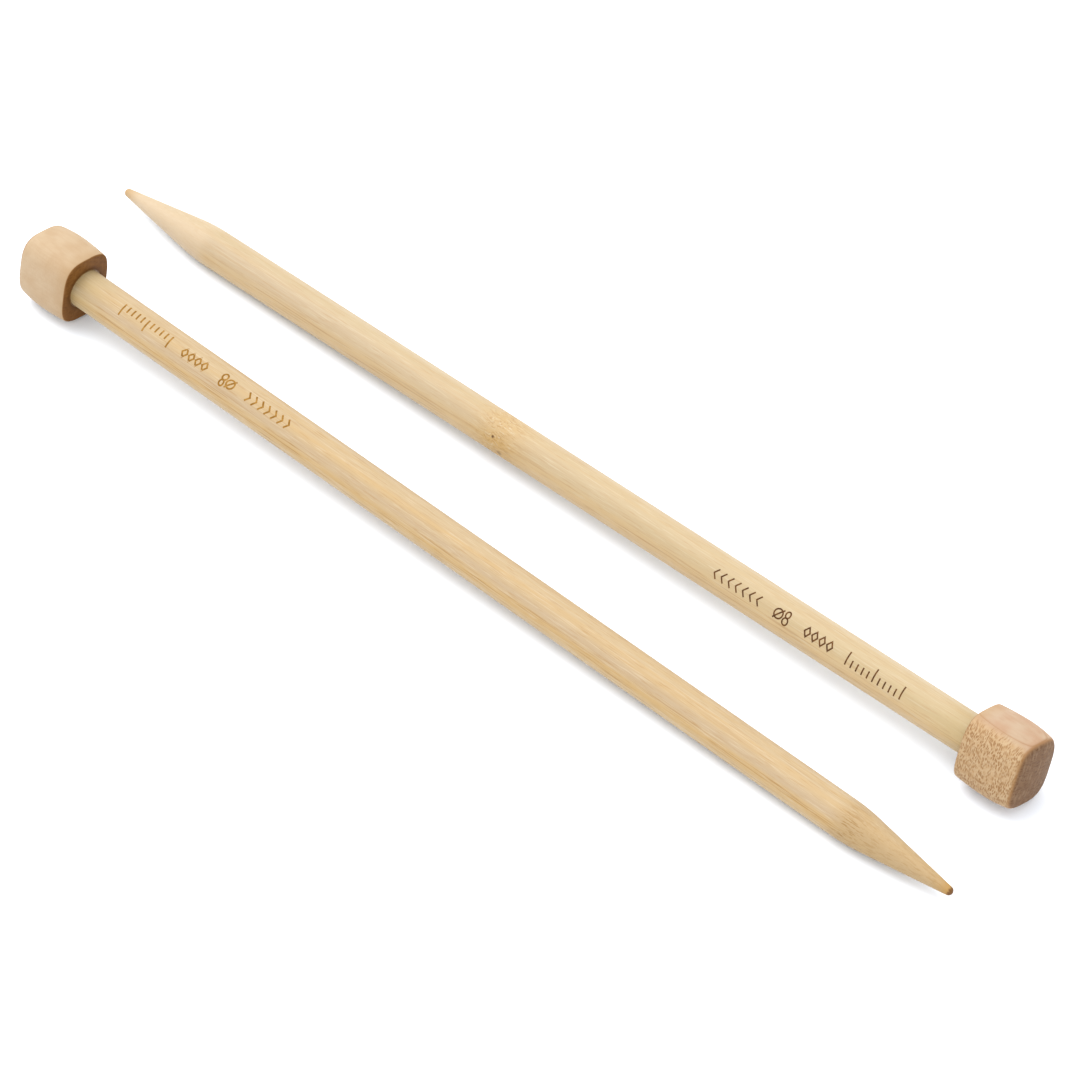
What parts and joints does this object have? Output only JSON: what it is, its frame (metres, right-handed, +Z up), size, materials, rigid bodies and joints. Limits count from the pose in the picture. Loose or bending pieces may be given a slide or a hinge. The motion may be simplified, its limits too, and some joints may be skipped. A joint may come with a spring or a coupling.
{
  "type": "straight knitting needles",
  "caption": "Pair of straight single-point bamboo knitting needles with tapered points and rounded wooden cube stopper knobs, lying side by side.",
  "frame": {"origin": "centre of the pair's outline, on the surface that the needles lie on", "axes": "+X along the needles, the way needle A points; +Y from needle A to needle B; +Z up"},
  "size_m": [0.2394, 0.042, 0.0161],
  "materials": {
    "bamboo": "pale straw bamboo with fine long fibres, polished and lightly waxed",
    "knob_wood": "smooth pinkish-tan hardwood, sanded, clear satin coat",
    "glue": "cured amber wood glue"
  },
  "bodies": {
    "needle_a": {"shaft_a": "bamboo", "knob_a": "knob_wood", "glue_a": "glue"},
    "needle_b": {"shaft_b": "bamboo", "knob_b": "knob_wood", "glue_b": "glue"}
  },
  "joints": [
    {"name": "needle_b_lift", "type": "slide", "parent": "needle_a", "child": "needle_b", "axis": [0, 0, 1], "range_m": [0, 0.06]}
  ]
}
